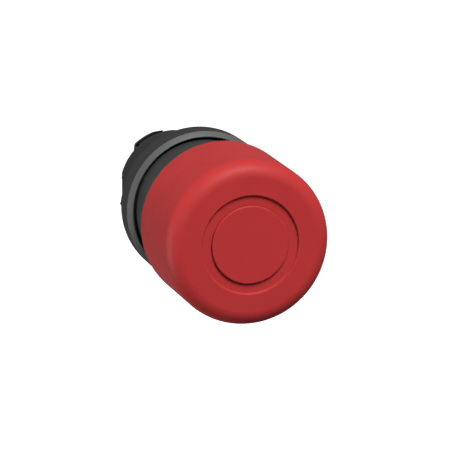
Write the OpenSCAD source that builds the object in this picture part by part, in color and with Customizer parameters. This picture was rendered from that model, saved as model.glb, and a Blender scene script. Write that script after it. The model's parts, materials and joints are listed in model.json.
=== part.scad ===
// Emergency stop operator head for a 22 mm panel hole: a 30 mm mushroom cap that
// latches when it is pushed and is reset by pulling it out again.
//
// The sections below are drawn on a vertical axis. Height 0 is the face of the bezel that
// seats on the panel, heights above 0 are in front of the panel, and heights below 0 are
// behind it. facing_front() then lays that axis down, so the cap faces -Y and +Z is up.

/* [Mushroom cap] */
// Diameter of the cap at its rear rim
cap_d = 30; // [29.8:0.1:32]
// Length of the cap from its rear rim to its front face
cap_len = 19.3; // [18.5:0.1:20]
// Radius of the rounded front edge
cap_edge_r = 2.8; // [1:0.1:3.2]
// How much the cap's radius shrinks from the rear rim to the front face
cap_draft = 0.26; // [0:0.02:0.4]
// Diameter of the plain disc in the middle of the front face
disc_d = 13.9; // [13:0.1:14.2]
// Width of the shallow channel around the disc
channel_w = 1.8; // [1.2:0.1:2.4]
// Depth of the channel around the disc
channel_depth = 0.5; // [0.4:0.1:0.8]

/* [Bezel and collar] */
// Diameter of the bezel in front of the panel
bezel_d = 29; // [28.6:0.1:31]
// Height of the bezel above the panel
bezel_h = 5.8; // [5.4:0.1:6.4]
// Radial width of the bezel's front chamfer
bezel_chamfer = 0.85; // [0.3:0.05:0.9]
// Diameter of the collar that passes through the panel
collar_d = 22; // [21.9:0.05:22.2]
// Length of the collar behind the panel, without its bayonet lugs
collar_len = 15.6; // [15:0.1:16.2]
// Length of the bayonet lugs behind the collar
lug_len = 3.2; // [3:0.1:3.8]
// Angle that each bayonet lug covers
lug_deg = 25; // [20:1:30]

/* [Motion] */
// Distance from the front of the bezel to the rear rim of the cap, pulled out
cap_gap = 11.5; // [11:0.1:12.5]
// Travel of the cap from pulled out to latched
push_travel = 5.5; // [5:0.1:5.6]
// Travel of the plunger over the same stroke
plunger_travel = 4.3; // [3.8:0.1:4.4]

/* [Hidden] */
$fn = 96;

// Clearances: between fixed pieces, round a sliding shaft, and round a loose ring or screw.
fit_gap = 0.03;
run_gap = 0.03;
loose_gap = 0.05;
// Overrun of a cut, and the largest radius that a cut has to clear.
cut = 0.5;
reach = 30;

// Cap
cap_r = cap_d / 2;
cap_rear = bezel_h + cap_gap;
cap_front = cap_rear + cap_len;
cap_wall = 1.8;
cap_top_wall = 3.0;
rim_round = 0.4;
edge_break = 0.15;
disc_r = disc_d / 2;
channel_r = disc_r + channel_w;
channel_floor = cap_front - channel_depth;
disc_floor = cap_front - 1.8;
pocket_r = 4.6;
pocket_floor = disc_floor - 3.4;
cap_web = 1.0;
hub_r = 6.4;
hub_len = 6.0;
hub_rear = pocket_floor - cap_web - hub_len;
spigot_r = 4.45;
rib_n = 6;
rib_t = 1.2;
rib_len = 5.1;
screw_r = 1.95;
screw_len = 6.8;
screw_head_r = 3.5;
screw_head_h = 2.2;
hex_socket_r = 1.6;
hex_socket_depth = 1.3;
screw_hole_r = screw_r + 0.2;
washer_t = 0.6;
insert_r = 2.8;
insert_len = 6.3;
insert_top = hub_rear + hub_len - 0.1;

// Stem
stem_r = 4.0;
stem_flat = 3.5;
stem_tail_r = 3.0;
shoulder_r = 6.2;
shoulder_h = 1.6;
stem_step = 0.8;
stem_flat_top = 8.6;
stop_r = 5.6;
stop_t = 0.75;
clip_t = 0.8;
clip_groove_r = 2.4;
stem_end = -10.2;

// Detent: the wire sits in the rear groove when armed and in the front groove when latched.
wire_r = 0.55;
groove_front = -1.3;
groove_rear = groove_front - push_travel;
ridge = (groove_front + groove_rear) / 2;
groove_r = 3.7;
ridge_r = 4.9;
ridge_land = 0.3;
cam_r = 4.4;
groove_flank = 0.7;
cam_end = groove_rear - 2 * groove_flank;
wire_x = groove_r + wire_r + 0.3;

// Body
collar_r = collar_d / 2;
collar_bore = 9.4;
collar_front_bore = 8.8;
flange_r = 13.4;
flange_z = 1.6;
flange_t = 1.6;
flange_top = flange_z + flange_t;
sleeve_r = 12.9;
sleeve_t = 1.2;
sleeve_top = 22;
spigot_ring_t = 1.15;
spigot_ring_r = sleeve_r - sleeve_t - 0.05;
spigot_ring_top = 6.0;
tube_r = 8.0;
tube_top = 14.6;
bush_r = 6.0;
bush_top = 12.0;
bush_flange_r = 7.4;
seal_lip = 0.8;
seal_lip_r = stem_r + 0.3;
seal_bore = bush_r - 0.1;
collar_flat = 10.55;
collar_flat_len = 6;
lug_r = 10.83;
relief_r = 10.8;
lug_n = 4;
lug_first_deg = 31.3;
lug_groove_depth = 0.9;
lug_lip_t = 1.1;
lug_groove_t = 1.0;
hook_deg = 4;
hook_len = 0.8;
lug_wall_deg = 1;
lug_flat_end_deg = 10.4;
lug_foot_deg = 18.2;
lug_ramp_foot_deg = -42;
ramp_flat = 10.12;
function lug_x(deg) = lug_r * sin(deg);

// Behind the panel, inside the collar
cage_front = -5.4;
cage_rear = cam_end;
circlip_z = -13.35;
circlip_t = 0.75;
circlip_groove_r = 9.9;
guide_tail_r = 8.85;
guide_rear = -19.4;
guide_floor = 1.0;
guide_bore = 7.88;
stop_ring_front = -10.55;
stop_ring_t = 0.8;
stop_ring_r = 8.2;
stop_ring_bore = 6.4;
pressed_gap = 0.02;
plunger_front = stem_end - (push_travel - plunger_travel) - pressed_gap;
plunger_flange_r = 7.8;
plunger_flange_t = 1.0;
plunger_r = 5.4;
plunger_rear = -20.2;
plunger_play = 0.08;
plunger_coil_r = 6.6;
plunger_wire = 0.45;
plunger_turns = 2.5;

// Bezel and gasket
bezel_r = bezel_d / 2;
bezel_bore = flange_r + loose_gap;
bezel_rear_break = 0.3;
bezel_chamfer_h = 0.8;
gasket_t = 0.78;
gasket_seat = gasket_t + 0.02;
gasket_outer = 13.2;
gasket_bore = relief_r + loose_gap;

// Lays the drawing axis down: heights above 0 go to -Y, and the drawing's +Y goes to +Z.
module facing_front() {
    rotate([90, 0, 0]) children();
}

// A solid of revolution from a closed outline of [radius, height] points.
module turned(outline) {
    facing_front() rotate_extrude() polygon(outline);
}

// A plain ring between two heights.
module ring(outer, inner, low, high) {
    translate([0, 0, low]) difference() {
        cylinder(h = high - low, r = outer);
        translate([0, 0, -cut]) cylinder(h = high - low + 2 * cut, r = inner);
    }
}

// A plain disc between two heights.
module disc(radius, low, high) {
    translate([0, 0, low]) cylinder(h = high - low, r = radius);
}

// A wedge of the drawing plane's circle, centred on an angle, to cut arcs from rings.
module wedge(centre_deg, width_deg, low, high) {
    half = width_deg / 2;
    translate([0, 0, low]) linear_extrude(high - low) polygon([
        [0, 0],
        for (a = [-half, 0, half]) reach * [cos(centre_deg + a), sin(centre_deg + a)]
    ]);
}

// Points of an arc in an outline.
function arc(centre, r, from, to, steps) =
    [for (i = [0 : steps]) let (a = from + (to - from) * i / steps) centre + r * [cos(a), sin(a)]];

// ---- Pieces that move with the cap ----

// Outline of the cap, from its screw hole round the front, the side and the hollow inside.
function cap_outline() =
    let (
        draft_deg = atan(cap_draft / cap_len),
        edge_z = cap_front - cap_edge_r,
        side_r = cap_r - cap_draft * (edge_z - cap_rear) / cap_len,
        edge_x = side_r - cap_edge_r / cos(draft_deg)
    )
    concat(
        [
            [screw_hole_r, pocket_floor - cap_web], [screw_hole_r, pocket_floor],
            [pocket_r, pocket_floor], [pocket_r, disc_floor],
            [disc_r + fit_gap, disc_floor], [disc_r + fit_gap, channel_floor],
            [channel_r, channel_floor], [channel_r, cap_front - edge_break],
            [channel_r + edge_break, cap_front]
        ],
        arc([edge_x, edge_z], cap_edge_r, 90, draft_deg, 24),
        arc([cap_r - rim_round, cap_rear + rim_round], rim_round, 0, -90, 6),
        [
            [cap_r - cap_wall, cap_rear], [cap_r - cap_wall, cap_front - cap_top_wall],
            [hub_r, cap_front - cap_top_wall], [hub_r, hub_rear],
            [spigot_r + fit_gap, hub_rear], [spigot_r + fit_gap, pocket_floor - cap_web]
        ]
    );

module mushroom_cap() color("firebrick") {
    rib_top = cap_front - cap_top_wall + cut;
    turned(cap_outline());
    for (i = [0 : rib_n - 1])
        facing_front() rotate(i * 360 / rib_n)
            translate([hub_r - cut, -rib_t / 2, rib_top - cut - rib_len])
                cube([cap_r - cap_wall - hub_r + 2 * cut, rib_t, rib_len + cut]);
}

module cap_disc() color("firebrick") {
    spigot_wall = 0.65;
    spigot_len = 1.6;
    turned([
        [0, disc_floor], [pocket_r - fit_gap - spigot_wall, disc_floor],
        [pocket_r - fit_gap - spigot_wall, disc_floor - spigot_len],
        [pocket_r - fit_gap - edge_break, disc_floor - spigot_len],
        [pocket_r - fit_gap, disc_floor - spigot_len + edge_break],
        [pocket_r - fit_gap, disc_floor], [disc_r, disc_floor],
        [disc_r, cap_front - edge_break], [disc_r - edge_break, cap_front], [0, cap_front]
    ]);
}

module cap_screw() color("silver") {
    under_head = pocket_floor + washer_t;
    head_break = 0.3;
    facing_front() difference() {
        rotate_extrude() polygon([
            [0, under_head - screw_len - washer_t], [screw_r - head_break, under_head - screw_len - washer_t],
            [screw_r, under_head - screw_len - washer_t + head_break], [screw_r, under_head],
            [screw_head_r, under_head], [screw_head_r, under_head + screw_head_h - head_break],
            [screw_head_r - head_break, under_head + screw_head_h], [0, under_head + screw_head_h]
        ]);
        translate([0, 0, under_head + screw_head_h - hex_socket_depth])
            cylinder(h = hex_socket_depth + cut, r = hex_socket_r, $fn = 6);
    }
}

// Split spring washer under the screw's head.
module cap_lock_washer() color("silver") {
    split = 0.5;
    facing_front() difference() {
        ring(screw_head_r - 0.1, screw_r + 0.15, pocket_floor, pocket_floor + washer_t);
        translate([0, -split / 2, pocket_floor - cut])
            cube([screw_head_r + cut, split, washer_t + 2 * cut]);
    }
}

// Brass insert moulded into the stem, with two knurled bands.
module thread_insert() color("goldenrod") {
    neck_depth = 0.25;
    neck_low = insert_top - insert_len * 0.6;
    neck_high = insert_top - insert_len * 0.4;
    turned([
        [screw_r + loose_gap, insert_top - insert_len], [insert_r, insert_top - insert_len],
        [insert_r, neck_low], [insert_r - neck_depth, neck_low],
        [insert_r - neck_depth, neck_high], [insert_r, neck_high],
        [insert_r, insert_top], [screw_r + loose_gap, insert_top]
    ]);
}

// Round shaft with two flats low down, where the bush keeps it from turning.
module stem() color("dimgray") {
    insert_floor = insert_top - insert_len - 0.1;
    facing_front() difference() {
        union() {
            disc(spigot_r, hub_rear - cut, insert_top);
            disc(shoulder_r, hub_rear - shoulder_h, hub_rear - fit_gap);
            disc(stem_r, stem_step, hub_rear - shoulder_h + cut);
            disc(stem_tail_r, stem_end, stem_step + cut);
        }
        disc(insert_r + fit_gap, insert_floor, insert_top + cut);
        for (side = [0, 180])
            rotate(side) translate([stem_flat, -stem_r, stem_step - cut])
                cube([stem_r, 2 * stem_r, stem_flat_top - stem_step + cut]);
        ring(stem_r, clip_groove_r, cam_end - clip_t - fit_gap, cam_end);
    }
}

// Elastomer washer that meets the bush when the cap is pulled out.
module stop_washer() color("black") facing_front()
    ring(stop_r, stem_tail_r + fit_gap, fit_gap, stop_t);

// Double cone that the detent wire has to climb over between armed and latched.
module detent_cam() color("ivory") turned([
    [stem_tail_r + fit_gap, 0], [cam_r, 0], [cam_r, groove_front + groove_flank],
    [groove_r, groove_front], [ridge_r, ridge + ridge_land / 2], [ridge_r, ridge - ridge_land / 2],
    [groove_r, groove_rear], [cam_r, groove_rear - groove_flank], [cam_r, cam_end],
    [stem_tail_r + fit_gap, cam_end]
]);

// E-shaped clip that holds the cam on the stem, with three windows.
module stem_clip() color("silver") {
    clip_r = 4.6;
    mouth = 4.4;
    window = [0.7, 0.9];
    window_r = 3.1;
    low = cam_end - clip_t;
    facing_front() difference() {
        ring(clip_r, clip_groove_r + fit_gap, low + fit_gap, cam_end - fit_gap);
        translate([0, -mouth / 2, low - cut]) cube([clip_r + cut, mouth, clip_t + 2 * cut]);
        for (a = [0, 120, 240])
            rotate(a) translate([window_r, -window[1] / 2, low - cut])
                cube([window[0], window[1], clip_t + 2 * cut]);
    }
}

// ---- Pieces that stay on the panel ----

// Side view of a part of a lug: points across the lug at its outer radius, and along the axis.
module lug_side(angle, points) {
    rotate([0, 0, angle]) rotate([90, 0, 90]) linear_extrude(lug_r + 1) polygon(points);
}

// One bayonet lug. A long ramp leads into its groove, which hooks forward at the closed end.
module lug(angle) {
    rear = -collar_len - lug_len;
    foot = -collar_len + cut;
    groove_low = rear + lug_lip_t;
    groove_high = groove_low + lug_groove_t;
    start = -lug_deg / 2;
    groove_end = lug_deg / 2 - lug_wall_deg;
    difference() {
        intersection() {
            ring(lug_r, collar_bore + 0.1, rear, foot);
            union() {
                lug_side(angle, [[lug_x(start), foot], [lug_x(start), rear],
                    [lug_x(lug_flat_end_deg), rear], [lug_x(lug_foot_deg), foot]]);
                intersection() {
                    lug_side(angle, [[lug_x(lug_ramp_foot_deg), foot], [lug_x(start), rear],
                        [lug_x(0), rear], [lug_x(0), foot]]);
                    translate([-ramp_flat, -collar_r, rear - cut])
                        cube([2 * ramp_flat, 2 * collar_r, lug_len + 2 * cut]);
                }
            }
        }
        intersection() {
            ring(lug_r + cut, lug_r - lug_groove_depth, groove_low, groove_high);
            wedge(angle + (lug_ramp_foot_deg + groove_end) / 2, groove_end - lug_ramp_foot_deg, rear, foot);
        }
        intersection() {
            ring(lug_r + cut, lug_r - lug_groove_depth, groove_low, groove_high + hook_len);
            wedge(angle + groove_end - hook_deg / 2, hook_deg, rear, foot);
        }
    }
}

module body() color("#2b2b2c") facing_front() difference() {
    union() {
        disc(collar_r, -collar_len, flange_z + cut);
        disc(flange_r, flange_z, flange_top);
        ring(spigot_ring_r, spigot_ring_r - spigot_ring_t, flange_top - cut, spigot_ring_top);
        disc(tube_r, flange_top - cut, tube_top);
        for (i = [0 : lug_n - 1])
            lug(lug_first_deg + i * 360 / lug_n);
    }
    disc(collar_front_bore, cage_front - cut, flange_z);
    disc(collar_bore, -collar_len - cut, cage_front);
    disc(bush_r, flange_z - cut, bush_top);
    disc(seal_bore, bush_top - cut, tube_top - seal_lip);
    disc(seal_lip_r, tube_top - seal_lip - cut, tube_top + cut);
    ring(collar_r + cut, relief_r, 0, gasket_seat);
    ring(circlip_groove_r, collar_bore - cut, circlip_z - loose_gap, circlip_z + circlip_t + loose_gap);
    for (side = [0, 180])
        rotate(side) translate([collar_flat, -collar_r, -collar_len - cut])
            cube([collar_r, 2 * collar_r, collar_flat_len + cut]);
}

// Ring in front of the panel, with a bright chamfer round its front edge.
module bezel() color("#3a3a3c") turned([
    [collar_r + loose_gap, gasket_seat], [collar_r + loose_gap, flange_z - fit_gap],
    [bezel_bore, flange_z - fit_gap], [bezel_bore, bezel_h],
    [bezel_r - bezel_chamfer, bezel_h], [bezel_r, bezel_h - bezel_chamfer_h],
    [bezel_r, bezel_rear_break], [bezel_r - bezel_rear_break, 0],
    [gasket_outer, 0], [gasket_outer, gasket_seat]
]);

module panel_gasket() color("black") facing_front()
    ring(gasket_outer - loose_gap, gasket_bore, 0, gasket_t);

// Fixed sleeve inside the cap's skirt, with a foot on the body's flange.
module guide_sleeve() color("#1f2021") {
    foot_r = bezel_bore - 0.1;
    foot_h = 1.0;
    foot_top = flange_top + foot_h;
    lead = 0.4;
    turned([
        [sleeve_r - sleeve_t, flange_top + fit_gap], [foot_r, flange_top + fit_gap],
        [foot_r, foot_top], [sleeve_r, foot_top], [sleeve_r, sleeve_top - lead],
        [sleeve_r - lead, sleeve_top], [sleeve_r - sleeve_t, sleeve_top]
    ]);
}

// Plain bearing for the stem, with a flatted mouth that keeps it from turning.
module guide_bush() color("ivory") {
    mouth_top = stem_step + 2.0;
    facing_front() difference() {
        union() {
            disc(bush_r - fit_gap, flange_z - cut, bush_top - fit_gap);
            disc(bush_flange_r, stem_step, flange_z - fit_gap);
        }
        disc(stem_r + run_gap, mouth_top, bush_top + cut);
        intersection() {
            disc(stem_r + run_gap, 0, mouth_top + cut);
            translate([-stem_flat - run_gap, -stem_r - cut, 0])
                cube([2 * (stem_flat + run_gap), 2 * (stem_r + cut), bush_top]);
        }
    }
}

module stem_o_ring() color("black") {
    section_r = 0.85;
    facing_front() translate([0, 0, bush_top + section_r + fit_gap])
        rotate_extrude() translate([stem_r + section_r + loose_gap, 0])
            circle(r = section_r, $fn = 32);
}

// Middle line of the rubber bellows, from its clamped foot up to its collar on the stem.
bellows_path = [
    [10.3, 6.4], [9.2, 8.4], [10.7, 10.8], [9.1, 13.0], [10.7, 15.2], [8.0, 17.6], [9.4, 19.4], [5.0, 21.2]
];
bellows_t = 0.7;

module bellows() color("black") {
    neck_r = 5.3;
    neck_high = hub_rear - shoulder_h - 0.1;
    neck_low = neck_high - 2.1;
    foot = spigot_ring_top + fit_gap;
    foot_r = spigot_ring_r - loose_gap;
    foot_t = 1.3;
    side = [bellows_t / 2, 0];
    turned(concat(
        [for (p = bellows_path) p + side],
        [[neck_r, neck_high], [stem_r + run_gap, neck_high], [stem_r + run_gap, neck_low]],
        [for (i = [len(bellows_path) - 1 : -1 : 0]) bellows_path[i] - side],
        [[9.95, foot], [foot_r, foot], [foot_r, foot + foot_t], [10.5, foot + foot_t]]
    ));
}

module bellows_clamp_ring() color("gray") {
    low = spigot_ring_top + 1.4;
    facing_front() ring(sleeve_r - sleeve_t - fit_gap, 10.95, low, low + 1.4);
}

// Holder for the detent wire. Its two plates are joined at the sides.
module detent_cage() color("dimgray") {
    window = 6.2;
    slot_side = 6.8;
    slot_low = -7.8;
    slot_high = 9.1;
    slot_h = 2 * wire_r + 0.2;
    facing_front() difference() {
        ring(collar_bore - fit_gap, window, cage_rear, cage_front - fit_gap);
        translate([-slot_side, slot_low, groove_rear - slot_h / 2])
            cube([2 * slot_side, slot_high - slot_low, slot_h]);
    }
}

// Hairpin of spring wire. Its two legs straddle the cam and spread to pass the ridge.
module detent_spring() color("silver") {
    bend_y = 3.6;
    leg_end = -7.0;
    overlap = 0.01;
    facing_front() translate([0, 0, groove_rear]) {
        translate([0, bend_y, 0]) rotate_extrude(angle = 180)
            translate([wire_x, 0]) circle(r = wire_r, $fn = 32);
        for (side = [-1, 1])
            translate([side * wire_x, bend_y + overlap, 0]) rotate([90, 0, 0])
                cylinder(h = bend_y - leg_end, r = wire_r, $fn = 32);
    }
}

// Cup that closes the collar and guides the plunger.
module rear_guide() color("#2b2b2c") {
    shoulder = circlip_z + circlip_t + loose_gap;
    turned([
        [plunger_r + plunger_play, guide_rear], [guide_tail_r - edge_break, guide_rear],
        [guide_tail_r, guide_rear + edge_break], [guide_tail_r, shoulder],
        [collar_bore - fit_gap, shoulder], [collar_bore - fit_gap, cage_rear - fit_gap],
        [stop_ring_r, cage_rear - fit_gap], [stop_ring_r, stop_ring_front - stop_ring_t],
        [guide_bore, stop_ring_front - stop_ring_t], [guide_bore, guide_rear + guide_floor],
        [plunger_r + plunger_play, guide_rear + guide_floor]
    ]);
}

// Internal retaining ring, open at the bottom.
module rear_circlip() color("silver") {
    opening_deg = 34;
    facing_front() difference() {
        ring(circlip_groove_r - fit_gap, guide_tail_r + fit_gap, circlip_z, circlip_z + circlip_t);
        wedge(270, opening_deg, circlip_z - cut, circlip_z + circlip_t + cut);
    }
}

module plunger_stop_ring() color("gray") facing_front()
    ring(stop_ring_r - fit_gap, stop_ring_bore, stop_ring_front - stop_ring_t + fit_gap, stop_ring_front);

// Closed coil of round wire, swept as one polyhedron along a helix.
module coil(mean_r, wire, low, high, turns) {
    sides = 8;
    per_turn = 22;
    steps = round(turns * per_turn);
    pitch_z = high - low - wire;
    function centre(i) = let (a = 360 * turns * i / steps)
        [mean_r * cos(a), mean_r * sin(a), low + wire / 2 + pitch_z * i / steps];
    function section(i) = let (a = 360 * turns * i / steps, c = centre(i))
        [for (k = [0 : sides - 1]) let (b = 360 * k / sides)
            c + wire / 2 * [cos(b) * cos(a), cos(b) * sin(a), sin(b)]];
    points = [for (i = [0 : steps]) each section(i)];
    walls = [for (i = [0 : steps - 1], k = [0 : sides - 1])
        let (n = (k + 1) % sides)
        [i * sides + k, i * sides + n, (i + 1) * sides + n, (i + 1) * sides + k]];
    ends = [[for (k = [sides - 1 : -1 : 0]) k], [for (k = [0 : sides - 1]) steps * sides + k]];
    polyhedron(points, concat(walls, ends), convexity = 10);
}

module plunger_spring() color("silver") facing_front()
    coil(plunger_coil_r, plunger_wire, guide_rear + guide_floor + loose_gap,
        plunger_front - plunger_flange_t - loose_gap, plunger_turns);

// ---- Piece that pushes the contact blocks ----

module plunger() color("ivory") {
    recess_r = 2.2;
    recess_depth = 3.0;
    slot_w = 1.2;
    slot_depth = 1.2;
    facing_front() difference() {
        union() {
            disc(plunger_flange_r, plunger_front - plunger_flange_t, plunger_front);
            disc(plunger_r, plunger_rear, plunger_front - plunger_flange_t + cut);
        }
        disc(recess_r, plunger_rear - cut, plunger_rear + recess_depth);
        for (a = [0, 90])
            rotate(a) translate([-plunger_r - cut, -slot_w / 2, plunger_rear - cut])
                cube([2 * (plunger_r + cut), slot_w, slot_depth + cut]);
    }
}

mushroom_cap();
cap_disc();
cap_screw();
cap_lock_washer();
thread_insert();
stem();
stop_washer();
detent_cam();
stem_clip();
body();
bezel();
panel_gasket();
guide_sleeve();
guide_bush();
stem_o_ring();
bellows();
bellows_clamp_ring();
detent_cage();
detent_spring();
rear_guide();
rear_circlip();
plunger_stop_ring();
plunger_spring();
plunger();
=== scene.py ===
"""Looks of the emergency stop head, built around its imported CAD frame.

Every turned piece is drawn as an outline of (radius, height) in millimetres. Height is measured
along the button's axis from the panel seat towards the operator, so it is -Y in the frame.
"""
import json
from math import acos, ceil, cos, degrees, pi, radians, sin, tan

import bmesh
import bpy
from mathutils import Matrix, Vector


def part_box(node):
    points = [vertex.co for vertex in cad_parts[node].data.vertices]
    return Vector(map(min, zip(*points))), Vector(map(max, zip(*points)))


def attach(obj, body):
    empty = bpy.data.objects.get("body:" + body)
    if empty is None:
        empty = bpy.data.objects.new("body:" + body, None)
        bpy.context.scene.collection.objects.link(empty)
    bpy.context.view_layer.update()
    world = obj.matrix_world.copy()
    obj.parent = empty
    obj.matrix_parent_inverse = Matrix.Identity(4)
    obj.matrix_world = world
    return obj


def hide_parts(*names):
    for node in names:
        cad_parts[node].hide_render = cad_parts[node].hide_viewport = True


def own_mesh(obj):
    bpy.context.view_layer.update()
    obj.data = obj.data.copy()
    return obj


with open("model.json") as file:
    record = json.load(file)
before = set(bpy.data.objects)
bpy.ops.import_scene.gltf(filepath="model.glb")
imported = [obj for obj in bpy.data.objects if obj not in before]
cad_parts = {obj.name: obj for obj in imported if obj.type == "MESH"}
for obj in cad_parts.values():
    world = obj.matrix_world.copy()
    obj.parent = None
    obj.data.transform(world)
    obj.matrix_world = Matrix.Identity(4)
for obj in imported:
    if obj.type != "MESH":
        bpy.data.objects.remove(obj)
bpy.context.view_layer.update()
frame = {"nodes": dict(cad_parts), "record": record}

MM = 0.001
TURN_STEPS = 192


# ---- Sizes read from the frame ----

def extent(node):
    """Rear height, front height and radius of a CAD node, in millimetres."""
    low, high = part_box(node)
    return -high.y / MM, -low.y / MM, high.x / MM


cap_rear, cap_front, cap_r = extent("mushroom_cap")
disc_rear, _, disc_r = extent("cap_disc")
bezel_rear, bezel_front, bezel_r = extent("bezel")
sleeve_rear, sleeve_front, foot_r = extent("guide_sleeve")
gasket_rear, gasket_front, gasket_r = extent("panel_gasket")
lug_rear, tube_top, flange_r = extent("body")
guide_rear, guide_front, guide_r = extent("rear_guide")
bellows_foot, bellows_top, bellows_foot_r = extent("bellows")
spring_rear, spring_front, spring_r = extent("plunger_spring")

collar_r = frame["record"]["mounts"][0]["dims"]["r_mm"]
collar_rear = -frame["record"]["mounts"][0]["dims"]["length_mm"]


# ---- Mesh building ----

def on_axis(radius, angle, height):
    """A point of the frame from its radius, its angle from +X towards +Z, and its height."""
    return Vector((radius * cos(angle), -height, radius * sin(angle))) * MM


def rounded(outline, steps=6):
    """A closed outline with its corners rounded. Each point is (radius, height, fillet)."""
    points = []
    for i, corner in enumerate(outline):
        here = Vector(corner[:2])
        fillet = corner[2] if len(corner) > 2 else 0
        before = Vector(outline[i - 1][:2]) - here
        after = Vector(outline[(i + 1) % len(outline)][:2]) - here
        if fillet <= 0 or before.length < 1e-6 or after.length < 1e-6:
            points.append(tuple(here))
            continue
        half = before.angle(after) / 2
        reach = min(fillet / tan(half), 0.48 * before.length, 0.48 * after.length)
        radius = reach * tan(half)
        centre = here + (before.normalized() + after.normalized()).normalized() * radius / sin(half)
        start = here + before.normalized() * reach - centre
        end = here + after.normalized() * reach - centre
        sweep = start.angle(end)
        count = max(3, ceil(steps * sweep / (pi / 2)))
        for k in range(count + 1):
            t = k / count
            blend = (start * sin((1 - t) * sweep) + end * sin(t * sweep)) / sin(sweep)
            points.append(tuple(centre + blend))
    return points


def finished(name, mesh, body, node, materials, bevel=0.0):
    """Cleans a new mesh, gives it its materials, and hangs it on its body."""
    build = bmesh.new()
    build.from_mesh(mesh)
    bmesh.ops.remove_doubles(build, verts=build.verts, dist=2e-6)
    bmesh.ops.dissolve_degenerate(build, edges=build.edges, dist=2e-6)
    bmesh.ops.recalc_face_normals(build, faces=build.faces)
    build.to_mesh(mesh)
    build.free()
    for material in materials:
        mesh.materials.append(material)
    mesh.shade_smooth()
    mesh.set_sharp_from_angle(angle=radians(38))
    piece = bpy.data.objects.new(name, mesh)
    bpy.context.scene.collection.objects.link(piece)
    if bevel:
        add_bevel(piece, bevel)
    weigh = piece.modifiers.new("weighted_normals", "WEIGHTED_NORMAL")
    weigh.keep_sharp = True
    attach(piece, body)
    if node:
        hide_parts(node)
    return piece


def add_bevel(piece, width):
    """Breaks the sharp edges of a piece. The width is in millimetres."""
    bevel = piece.modifiers.new("edge_break", "BEVEL")
    bevel.width = width * MM
    bevel.segments = 2
    bevel.limit_method = "ANGLE"
    bevel.angle_limit = radians(38)
    bevel.miter_outer = "MITER_ARC"


def loft(name, outlines, angles, band=None):
    """A closed mesh through one outline per angle. band(radius, height) picks a face's material."""
    count = len(outlines[0])
    mesh = bpy.data.meshes.new(name)
    points = [on_axis(r, a, h) for a, outline in zip(angles, outlines) for r, h in outline]
    faces = []
    bands = []
    for i in range(len(angles)):
        j = (i + 1) % len(angles)
        for k in range(count):
            n = (k + 1) % count
            faces.append((i * count + k, i * count + n, j * count + n, j * count + k))
            if band:
                (r0, h0), (r1, h1) = outlines[i][k], outlines[i][n]
                bands.append(band((r0 + r1) / 2, (h0 + h1) / 2))
    mesh.from_pydata(points, [], faces)
    if band:
        mesh.polygons.foreach_set("material_index", bands)
    return mesh


def turned(name, outline, body, node, materials, band=None, steps=6):
    """A piece of revolution from an outline of (radius, height, fillet)."""
    points = rounded(outline, steps)
    angles = [2 * pi * i / TURN_STEPS for i in range(TURN_STEPS)]
    mesh = loft(name, [points] * TURN_STEPS, angles, band)
    return finished(name, mesh, body, node, materials)


def swept(name, route, wire_r, sides, body, node, materials):
    """A round wire along a list of points, closed at both ends."""
    build = bmesh.new()
    rings = []
    for i, point in enumerate(route):
        ahead = route[min(i + 1, len(route) - 1)] - route[max(i - 1, 0)]
        across = ahead.cross(Vector((0, 1, 0)))
        across = (across if across.length > 1e-9 else Vector((1, 0, 0))).normalized()
        over = across.cross(ahead).normalized()
        rings.append([
            build.verts.new(point + wire_r * (cos(b) * across + sin(b) * over))
            for b in (2 * pi * k / sides for k in range(sides))
        ])
    for low, high in zip(rings, rings[1:]):
        for k in range(sides):
            n = (k + 1) % sides
            build.faces.new((low[k], low[n], high[n], high[k]))
    build.faces.new(rings[0])
    build.faces.new(rings[-1])
    mesh = bpy.data.meshes.new(name)
    build.to_mesh(mesh)
    build.free()
    return finished(name, mesh, body, node, materials)


# ---- Materials ----

class Nodes:
    """A short way to write a node material."""

    def __init__(self, name):
        self.material = bpy.data.materials.new(name)
        self.material.use_nodes = True
        self.tree = self.material.node_tree
        self.tree.nodes.clear()
        self.output = self.add("ShaderNodeOutputMaterial")
        self.shader = self.add("ShaderNodeBsdfPrincipled")
        self.join(self.shader, "BSDF", self.output, "Surface")
        self.place = self.add("ShaderNodeTexCoord")

    def add(self, kind, **settings):
        node = self.tree.nodes.new(kind)
        for key, value in settings.items():
            setattr(node, key, value)
        return node

    def join(self, source, output, target, socket):
        self.tree.links.new(source.outputs[output], target.inputs[socket])

    def noise(self, per_mm, detail=3.0, roughness=0.55, stretch=(1, 1, 1)):
        """Noise with about per_mm features to the millimetre. A stretched axis packs them closer."""
        scale = self.add("ShaderNodeMapping")
        scale.inputs["Scale"].default_value = stretch
        self.join(self.place, "Object", scale, "Vector")
        noise = self.add("ShaderNodeTexNoise")
        noise.inputs["Scale"].default_value = per_mm / MM
        noise.inputs["Detail"].default_value = detail
        noise.inputs["Roughness"].default_value = roughness
        self.join(scale, "Vector", noise, "Vector")
        return noise

    def spread(self, source, low, high):
        """Maps a 0.3 to 0.7 signal onto a range."""
        span = self.add("ShaderNodeMapRange")
        span.inputs["From Min"].default_value = 0.3
        span.inputs["From Max"].default_value = 0.7
        span.inputs["To Min"].default_value = low
        span.inputs["To Max"].default_value = high
        self.join(source, "Fac", span, "Value")
        return span

    def tint(self, source, dark, light):
        mix = self.add("ShaderNodeMix", data_type="RGBA")
        mix.inputs["A"].default_value = (*dark, 1)
        mix.inputs["B"].default_value = (*light, 1)
        self.join(source, 0, mix, "Factor")
        self.join(mix, "Result", self.shader, "Base Color")

    def relief(self, *layers):
        """Stacks bump layers of (noise, height in millimetres, strength)."""
        below = None
        for source, height, strength in layers:
            bump = self.add("ShaderNodeBump")
            bump.inputs["Distance"].default_value = height * MM
            bump.inputs["Strength"].default_value = strength
            self.join(source, 0, bump, "Height")
            if below:
                self.join(below, "Normal", bump, "Normal")
            below = bump
        self.join(below, "Normal", self.shader, "Normal")


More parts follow.
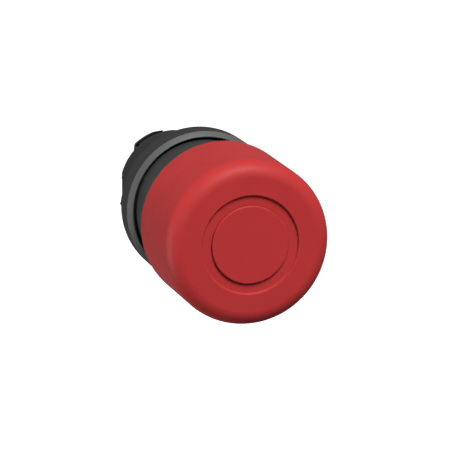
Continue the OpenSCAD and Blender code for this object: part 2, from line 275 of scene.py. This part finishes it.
def scaled(colour, factor):
    return tuple(min(1.0, channel * factor) for channel in colour)


def plastic(name, colour, gloss, specular, relief=0.5, mottle=0.06):
    """Moulded plastic: a fine spark-eroded grain, slow flow mottling and uneven gloss."""
    grain_mm = 0.12
    nodes = Nodes(name)
    flow = nodes.noise(0.12, detail=2.0)
    cloud = nodes.noise(0.55, detail=4.0)
    grain = nodes.noise(1 / grain_mm, detail=2.0, roughness=0.7)
    nodes.tint(nodes.spread(flow, 0, 1), scaled(colour, 1 - mottle), scaled(colour, 1 + mottle))
    gloss_map = nodes.spread(cloud, *gloss)
    nodes.join(gloss_map, "Result", nodes.shader, "Roughness")
    nodes.relief((cloud, 0.01, 0.35), (grain, 0.012, relief))
    nodes.shader.inputs["Specular IOR Level"].default_value = specular
    return nodes.material


def metal(name, colour, gloss=(0.18, 0.34), per_mm=2.5):
    """Drawn or turned metal: brushed lines round the axis, and patches that are duller."""
    nodes = Nodes(name)
    lines = nodes.noise(per_mm, detail=3.0, stretch=(1, 14, 1))
    patches = nodes.noise(0.4, detail=4.0)
    nodes.tint(nodes.spread(patches, 0, 1), scaled(colour, 0.86), scaled(colour, 1.06))
    nodes.join(nodes.spread(lines, *gloss), "Result", nodes.shader, "Roughness")
    nodes.relief((lines, 0.006, 0.4))
    nodes.shader.inputs["Metallic"].default_value = 1.0
    return nodes.material


def elastomer(name, colour):
    """Moulded rubber: matte, with a slight bloom and a pebbled skin."""
    nodes = Nodes(name)
    bloom = nodes.noise(0.5, detail=5.0)
    skin = nodes.noise(5.0, detail=2.0, roughness=0.6)
    nodes.tint(nodes.spread(bloom, 0, 1), scaled(colour, 0.85), scaled(colour, 1.35))
    nodes.join(nodes.spread(bloom, 0.68, 0.85), "Result", nodes.shader, "Roughness")
    nodes.relief((skin, 0.02, 0.5))
    nodes.shader.inputs["Specular IOR Level"].default_value = 0.3
    return nodes.material


red_plastic = plastic(
    "red_cap", (0.352, 0.0262, 0.0266), gloss=(0.42, 0.52), specular=0.10, relief=0.35, mottle=0.03)
bezel_plastic = plastic("bezel_side", (0.026, 0.0262, 0.0275), gloss=(0.5, 0.62), specular=0.15)
# The bezel's own dark plastic painted paler for the chamfer: a painted highlight of the top light, not a
# second colour.
chamfer_painted_highlight = plastic(
    "bezel_chamfer", (0.074, 0.0745, 0.0755), gloss=(0.42, 0.5), specular=0.2, relief=0.2)
sleeve_plastic = plastic("sleeve_black", (0.034, 0.035, 0.035), gloss=(0.42, 0.52), specular=0.15)
black_plastic = plastic("black_plastic", (0.0225, 0.0225, 0.023), gloss=(0.52, 0.66), specular=0.1)
# Darker than the plastic itself. It stands in for the shadow in the narrow lug grooves.
painted_groove_shadow = plastic("groove_painted_shadow", (0.0025, 0.0025, 0.0026), gloss=(0.6, 0.7), specular=0.05)
acetal = plastic("natural_acetal", (0.66, 0.63, 0.55), gloss=(0.3, 0.42), specular=0.4, mottle=0.04)
rubber = elastomer("rubber", (0.018, 0.018, 0.019))
zinc = metal("zinc_steel", (0.6, 0.61, 0.63))
spring_steel = metal("spring_steel", (0.5, 0.5, 0.51), gloss=(0.14, 0.26), per_mm=4.0)
brass = metal("brass", (0.72, 0.5, 0.2))


# ---- Cap ----

def cap_shell():
    """Cap with its rounded front edge, the channel in its face, its hollow and its hub."""
    draft = 0.26
    wall = 1.8
    channel_r = disc_r + 1.8
    channel_floor = cap_front - 0.5
    disc_floor = cap_front - 1.8
    pocket_r, pocket_floor = 4.6, disc_floor - 3.4
    web_rear = pocket_floor - 1.0
    hub_r, hub_rear = 6.4, web_rear - 6.0
    bore_r, spigot_r = 2.15, 4.48
    ceiling = cap_front - 3.0
    return turned("mushroom_cap_shell", [
        (bore_r, web_rear, 0.05), (bore_r, pocket_floor, 0.15), (pocket_r, pocket_floor, 0.3),
        (pocket_r, disc_floor, 0.08), (disc_r + 0.03, disc_floor, 0.05), (disc_r + 0.03, channel_floor, 0.04),
        (channel_r, channel_floor, 0.12), (channel_r, cap_front, 0.2),
        (cap_r - draft, cap_front, 2.8), (cap_r, cap_rear, 0.4), (cap_r - wall, cap_rear, 0.25),
        (cap_r - wall, ceiling, 1.2), (hub_r, ceiling, 0.8), (hub_r, hub_rear, 0.3),
        (spigot_r, hub_rear, 0.15), (spigot_r, web_rear, 0.05),
    ], "mushroom", "mushroom_cap", [red_plastic], steps=14)


def cap_ribs():
    """Six thin ribs between the hub and the skirt, inside the cap."""
    hub_r, skirt_r = 6.1, cap_r - 1.6
    rib_low, rib_high = cap_front - 8.1, cap_front - 2.8
    half_t, rib_n = 0.6, 6
    build = bmesh.new()
    for i in range(rib_n):
        turn = Matrix.Rotation(2 * pi * i / rib_n, 4, "Y")
        size = Matrix.Diagonal(((skirt_r - hub_r) * MM, (rib_high - rib_low) * MM, 2 * half_t * MM, 1))
        place = Matrix.Translation(Vector(((skirt_r + hub_r) / 2, -(rib_high + rib_low) / 2, 0)) * MM)
        bmesh.ops.create_cube(build, size=1.0, matrix=turn @ place @ size)
    mesh = bpy.data.meshes.new("cap_ribs")
    build.to_mesh(mesh)
    build.free()
    return finished("cap_ribs", mesh, "mushroom", None, [red_plastic], bevel=0.15)


def centre_disc():
    """Plug in the middle of the face, with a short skirt that clips into the cap's pocket."""
    floor = cap_front - 1.8
    skirt_r, skirt_wall = 4.57, 0.65
    return turned("cap_centre_disc", [
        (0, floor), (skirt_r - skirt_wall, floor, 0.1), (skirt_r - skirt_wall, disc_rear, 0.1),
        (skirt_r, disc_rear, 0.2), (skirt_r, floor, 0.05), (disc_r, floor, 0.1),
        (disc_r, cap_front, 0.2), (0, cap_front),
    ], "mushroom", "cap_disc", [red_plastic], steps=14)


# ---- Bezel, sleeve and gasket ----

def bezel_ring():
    """Bezel whose chamfer is painted paler, a painted highlight of the top light. Its lip stands round a dark
    gap outside the sleeve.
    """
    gap = 0.1
    lip_r = foot_r + gap
    flange_seat = 1.57
    chamfer, chamfer_h = 0.85, 0.8
    inner_r, seat_r = collar_r + 0.05, gasket_r + 0.05

    # Faces on the chamfer take the paler material, the painted highlight.
    def band(radius, height):
        return int(radius > bezel_r - chamfer - 0.12 and height > bezel_front - chamfer_h - 0.03)

    return turned("bezel_ring", [
        (inner_r, gasket_front + 0.02), (inner_r, flange_seat), (lip_r, flange_seat, 0.1),
        (lip_r, bezel_front, 0.08), (bezel_r - chamfer, bezel_front, 0.12),
        (bezel_r, bezel_front - chamfer_h, 0.18), (bezel_r, bezel_rear, 0.3),
        (seat_r, bezel_rear, 0.08), (seat_r, gasket_front + 0.02),
    ], "housing", "bezel", [bezel_plastic, chamfer_painted_highlight], band=band, steps=8)


def sleeve():
    """Fixed sleeve that the cap's skirt slides over."""
    outer_r, wall, lead = foot_r - 0.45, 1.2, 0.4
    foot_top = sleeve_rear + 1.0 - 0.03
    return turned("guide_sleeve_tube", [
        (outer_r - wall, sleeve_rear, 0.1), (foot_r, sleeve_rear, 0.1), (foot_r, foot_top, 0.12),
        (outer_r, foot_top, 0.2), (outer_r, sleeve_front - lead, 0.3),
        (outer_r - lead, sleeve_front, 0.2), (outer_r - wall, sleeve_front, 0.15),
    ], "housing", "guide_sleeve", [sleeve_plastic])


def gasket():
    """Panel gasket with two sealing beads on its rear face."""
    inner_r = 10.85
    groove_h = 0.18
    bead_step = (gasket_r - inner_r) / 5
    beads = []
    for i in range(1, 5):
        height = gasket_rear if i % 2 else gasket_rear + groove_h
        beads.append((gasket_r - i * bead_step, height, 0.12))
    return turned("panel_gasket_beaded", [
        (inner_r, gasket_rear + groove_h, 0.1), (inner_r, gasket_front, 0.1),
        (gasket_r, gasket_front, 0.1), (gasket_r, gasket_rear + groove_h, 0.1), *beads,
    ], "housing", "panel_gasket", [rubber])


# ---- Body with its collar and bayonet lugs ----

LUG_ANGLES = [31.3 + 90 * i for i in range(4)]
LUG_R, GROOVE_R = 10.83, 9.93
LUG_START, LUG_FLAT_END, LUG_FOOT, LUG_RAMP_FOOT = -12.5, 10.4, 18.2, -42.0
LUG_MIDDLE = -12.0
GROOVE_END, HOOK_DEG = 11.5, 4.0
FLAT_X, RAMP_FLAT_X = 10.55, 10.12


def away(angle, centre):
    """Signed angle from a centre, in degrees, from -180 to 180."""
    return (angle - centre + 180) % 360 - 180


def lug_height(turn):
    """Rear height of the collar at an angle from a lug's middle: flat, steep end, or long ramp."""
    def slope(top, foot):
        across = [sin(radians(value)) for value in (top, turn, foot)]
        share = (across[1] - across[0]) / (across[2] - across[0])
        return lug_rear + (collar_rear - lug_rear) * share

    if LUG_START <= turn <= LUG_FLAT_END:
        return lug_rear
    if LUG_FLAT_END < turn < LUG_FOOT:
        return slope(LUG_FLAT_END, LUG_FOOT)
    if LUG_RAMP_FOOT < turn < LUG_START:
        return slope(LUG_START, LUG_RAMP_FOOT)
    return collar_rear


def lug_outline(angle, rear_limit):
    """The rear of the outline at one angle: a lug with its groove, a ramp, or the plain collar."""
    root_r, lip_t, groove_t, hook_t = 9.5, 1.1, 1.0, 1.8
    turn = min((away(angle, centre) for centre in LUG_ANGLES), key=lambda value: abs(value - LUG_MIDDLE))
    rim = lug_height(turn)
    lug_r = min(LUG_R, rear_limit) if turn < LUG_START else LUG_R
    groove_low = lug_rear + lip_t
    groove_high = groove_low + (hook_t if turn > GROOVE_END - HOOK_DEG else groove_t)
    if rim >= collar_rear:
        return [(LUG_R, collar_rear)] * 6 + [(root_r, collar_rear)] * 2
    if turn > GROOVE_END or rim >= groove_high:
        return [(lug_r, collar_rear)] + [(lug_r, rim)] * 5 + [(root_r, rim), (root_r, collar_rear)]
    lip = max(groove_low, rim)
    lip_r = GROOVE_R if rim > groove_low else lug_r
    return [
        (lug_r, collar_rear), (lug_r, groove_high), (GROOVE_R, groove_high), (GROOVE_R, lip),
        (lip_r, lip), (lip_r, rim), (root_r, rim), (root_r, collar_rear),
    ]


def collar_outline(angle):
    """The body's outline at one angle. Every angle has the same number of points."""
    across = max(abs(cos(radians(angle))), 0.1)
    rear_r = min(collar_r, FLAT_X / across)
    flat_top = collar_rear + 6
    bush_r, bush_top, seal_r, seal_lip_r = 6.0, 12.0, 5.9, 4.3
    seal_top = tube_top - 0.8
    tube_r, flange_rear, flange_front = 8.0, 1.6, 3.2
    spigot_in, spigot_out, spigot_top = 10.5, 11.65, 6.0
    relief_r, relief_top = 10.8, gasket_front + 0.02
    bore_r, front_bore, bore_step = 9.4, 8.8, -5.4
    clip_r, clip_rear, clip_front = 9.9, -13.4, -12.55
    return [
        (bush_r, flange_rear), (bush_r, bush_top), (seal_r, bush_top), (seal_r, seal_top),
        (seal_lip_r, seal_top), (seal_lip_r, tube_top), (tube_r, tube_top), (tube_r, flange_front),
        (spigot_in, flange_front), (spigot_in, spigot_top), (spigot_out, spigot_top),
        (spigot_out, flange_front), (flange_r, flange_front), (flange_r, flange_rear),
        (collar_r, flange_rear), (collar_r, relief_top), (relief_r, relief_top), (relief_r, 0),
        (collar_r, 0), (collar_r, flat_top), (rear_r, flat_top), (rear_r, collar_rear),
        *lug_outline(angle, RAMP_FLAT_X / across), (bore_r, collar_rear),
        (bore_r, clip_rear), (clip_r, clip_rear), (clip_r, clip_front), (bore_r, clip_front),
        (bore_r, bore_step), (front_bore, bore_step), (front_bore, flange_rear),
    ]


def body_collar():
    """Body of the head: collar with two flats, and four hooked lugs with long ramps."""
    step, hair = 2.0, 0.12
    edges = []
    for flat_half in (degrees(acos(FLAT_X / collar_r)), degrees(acos(RAMP_FLAT_X / LUG_R))):
        edges += [side + end for side in (0, 180) for end in (-flat_half, flat_half)]
    for centre in LUG_ANGLES:
        turns = (LUG_RAMP_FOOT, LUG_START, GROOVE_END - HOOK_DEG, LUG_FLAT_END, GROOVE_END, LUG_FOOT)
        edges += [centre + turn for turn in turns]
    edges = [edge % 360 for edge in edges]
    plain = [step * i for i in range(int(360 / step))]
    angles = [a for a in plain if min(abs(away(a, edge)) for edge in edges) > step / 3]
    angles += [edge + side * hair / 2 for edge in edges for side in (-1, 1)]
    angles = sorted(a % 360 for a in angles)
    outlines = [collar_outline(a) for a in angles]
    wall_mid = (LUG_R + GROOVE_R) / 2

    # Faces in the lug grooves take the near-black material, a painted shadow on the same plastic.
    def band(radius, height):
        in_groove = min(abs(radius - wall_mid), abs(radius - GROOVE_R)) < 0.02
        return int(in_groove and lug_rear + 1 < height < collar_rear)

    mesh = loft("body_collar", outlines, [radians(a) for a in angles], band)
    materials = [black_plastic, painted_groove_shadow]
    return finished("body_collar", mesh, "housing", "body", materials, bevel=0.06)


def rear_cup():
    """Cup that closes the collar and guides the pusher."""
    ledge, floor = -11.35, guide_rear + 1.0
    shoulder, tail_r, guide_bore, mouth_r, ring_r = -12.55, 8.85, 7.88, 5.48, 8.2
    return turned("rear_guide_cup", [
        (mouth_r, guide_rear, 0.25), (tail_r, guide_rear, 0.4), (tail_r, shoulder, 0.1),
        (guide_r, shoulder, 0.1), (guide_r, guide_front, 0.15), (ring_r, guide_front, 0.1),
        (ring_r, ledge, 0.05), (guide_bore, ledge, 0.1), (guide_bore, floor, 0.3), (mouth_r, floor, 0.1),
    ], "housing", "rear_guide", [black_plastic])


# ---- Soft and sprung pieces ----

def bellows():
    """Rubber bellows with round folds, in one fixed shape. The real one shortens as the cap is pushed."""
    outer_fold, inner_fold, folds, wall = 10.95, 8.95, 3, 0.5
    low, high = bellows_foot + 1.0, bellows_top - 5.6
    samples = 12 * folds
    centre, swing = (outer_fold + inner_fold) / 2, (outer_fold - inner_fold) / 2
    wave = []
    for i in range(samples + 1):
        t = i / samples
        wave.append((centre + swing * cos(2 * pi * (folds * t + 0.5)), low + (high - low) * t))
    neck_r, neck_low = 4.03, bellows_top - 2.1
    roof = [(7.6, high + 1.4), (9.2, high + 2.6), (5.4, neck_low + 0.5)]
    outer = [(r + wall / 2, h, 0.0) for r, h in wave] + [(r + wall / 2, h, 0.5) for r, h in roof]
    inner = [(r - wall / 2, h - 0.1, 0.5) for r, h in reversed(roof)]
    inner += [(r - wall / 2, h, 0.0) for r, h in reversed(wave)]
    neck = [(5.3, bellows_top, 0.2), (neck_r, bellows_top, 0.1), (neck_r, neck_low, 0.1)]
    foot_in_r, foot_neck_r, foot_top = 9.95, 10.4, bellows_foot + 1.3
    foot = [
        (foot_in_r, bellows_foot, 0.1), (bellows_foot_r, bellows_foot, 0.2),
        (bellows_foot_r, foot_top, 0.2), (foot_neck_r, foot_top, 0.1),
    ]
    piece = turned("stem_bellows", outer + neck + inner + foot, "housing", "bellows", [rubber])
    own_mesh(piece)


def pusher_spring():
    """Return spring of the pusher, with its two end coils closed."""
    wire, turns, per_turn = 0.45, 3.5, 32
    mean_r = spring_r - wire / 2
    steps = int(turns * per_turn)
    climb = spring_front - spring_rear - wire
    route = []
    for i in range(steps + 1):
        t = i / steps
        eased = (3 * t * t - 2 * t * t * t) * 0.6 + t * 0.4
        route.append(on_axis(mean_r, 2 * pi * turns * t, spring_rear + wire / 2 + climb * eased))
    piece = swept(
        "pusher_return_spring", route, wire / 2 * MM, 12,
        "housing", "plunger_spring", [spring_steel])
    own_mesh(piece)


def carried_over():
    """CAD nodes whose shape is right keep it, and get their material and a fine edge break."""
    finishes = {
        "cap_screw": (zinc, 0.08), "cap_lock_washer": (zinc, 0.06), "thread_insert": (brass, 0.06),
        "stem": (black_plastic, 0.1), "stop_washer": (rubber, 0.08), "detent_cam": (acetal, 0.05),
        "stem_clip": (spring_steel, 0.05), "guide_bush": (acetal, 0.08), "stem_o_ring": (rubber, 0),
        "bellows_clamp_ring": (zinc, 0.08), "detent_cage": (black_plastic, 0.08),
        "detent_spring": (spring_steel, 0), "rear_circlip": (spring_steel, 0.06),
        "plunger_stop_ring": (zinc, 0.06), "plunger": (acetal, 0.12),
    }
    for node, (material, edge) in finishes.items():
        piece = frame["nodes"][node]
        for slot in piece.material_slots:
            slot.material = material
        if edge:
            add_bevel(piece, edge)


# ---- Stage ----

def stage_piece(name, build, level):
    """A plain near-white piece that only the camera sees. It takes no shadow and lights nothing."""
    mesh = bpy.data.meshes.new(name)
    build.to_mesh(mesh)
    build.free()
    piece = bpy.data.objects.new(name, mesh)
    nodes = Nodes(name)
    speckle = nodes.noise(0.02, detail=2.0)
    nodes.tint(nodes.spread(speckle, 0, 1), (0.9, 0.9, 0.9), (0.93, 0.93, 0.93))
    nodes.shader.inputs["Roughness"].default_value = 0.9
    nodes.shader.inputs["Specular IOR Level"].default_value = 0.0
    nodes.shader.inputs["Emission Color"].default_value = (1, 1, 1, 1)
    nodes.shader.inputs["Emission Strength"].default_value = level
    mesh.materials.append(nodes.material)
    piece.visible_diffuse = piece.visible_glossy = piece.visible_shadow = False
    bpy.context.scene.collection.objects.link(piece)
    return piece


def floor_and_backdrop():
    """Wide pale floor a little below the head, and a pale dome that meets it."""
    drop, span = 0.16, 3.0
    build = bmesh.new()
    bmesh.ops.create_circle(build, cap_ends=True, segments=96, radius=span)
    ground = stage_piece("studio_floor", build, 0.9)
    ground.location.z = -drop
    build = bmesh.new()
    bmesh.ops.create_uvsphere(build, u_segments=64, v_segments=32, radius=span)
    stage_piece("studio_backdrop", build, 1.0)


def soft_light(name, towards, size, power):
    """A square soft box. towards is its direction from the head."""
    distance = 0.8
    data = bpy.data.lights.new(name, "AREA")
    data.shape = "SQUARE"
    data.size = size
    data.energy = power
    lamp = bpy.data.objects.new(name, data)
    lamp.location = Vector(towards).normalized() * distance
    lamp.rotation_euler = Vector(towards).to_track_quat("Z", "Y").to_euler()
    bpy.context.scene.collection.objects.link(lamp)


def studio():
    """Weak even light, a strong soft light above the front, and a weaker one on the left."""
    world = bpy.data.worlds.new("studio")
    world.use_nodes = True
    background = world.node_tree.nodes["Background"]
    background.inputs["Color"].default_value = (1, 1, 1, 1)
    background.inputs["Strength"].default_value = 0.2
    bpy.context.scene.world = world
    bpy.context.scene.view_settings.view_transform = "Standard"
    soft_light("key_above_front", (0.08, -0.62, 0.78), 0.4, 10.8)
    soft_light("fill_left", (-0.93, 0.1, -0.25), 0.5, 5.0)


def camera():
    """Long lens, low on the operator's left, aimed so that the head sits left of and above centre."""
    azimuth, elevation = radians(-15.8), radians(12.8)
    distance = 417 * MM
    right_of_aim, below_aim = 4.48 * MM, 3.5 * MM
    lens, sensor = 192, 36
    towards = Vector((sin(azimuth) * cos(elevation), -cos(azimuth) * cos(elevation), sin(elevation)))
    right = Vector((cos(azimuth), sin(azimuth), 0))
    up = towards.cross(right)
    face = Vector((0, -cap_front * MM, 0))
    data = bpy.data.cameras.new("camera")
    data.lens, data.sensor_width = lens, sensor
    data.clip_start, data.clip_end = 0.02, 50
    shot = bpy.data.objects.new("camera", data)
    shot.location = face - right * right_of_aim + up * below_aim + towards * distance
    turn = Matrix((right, up, towards)).transposed()
    shot.rotation_euler = turn.to_euler()
    bpy.context.scene.collection.objects.link(shot)
    bpy.context.scene.camera = shot


camera()
studio()
floor_and_backdrop()
cap_shell()
cap_ribs()
centre_disc()
bezel_ring()
sleeve()
gasket()
body_collar()
rear_cup()
bellows()
pusher_spring()
carried_over()
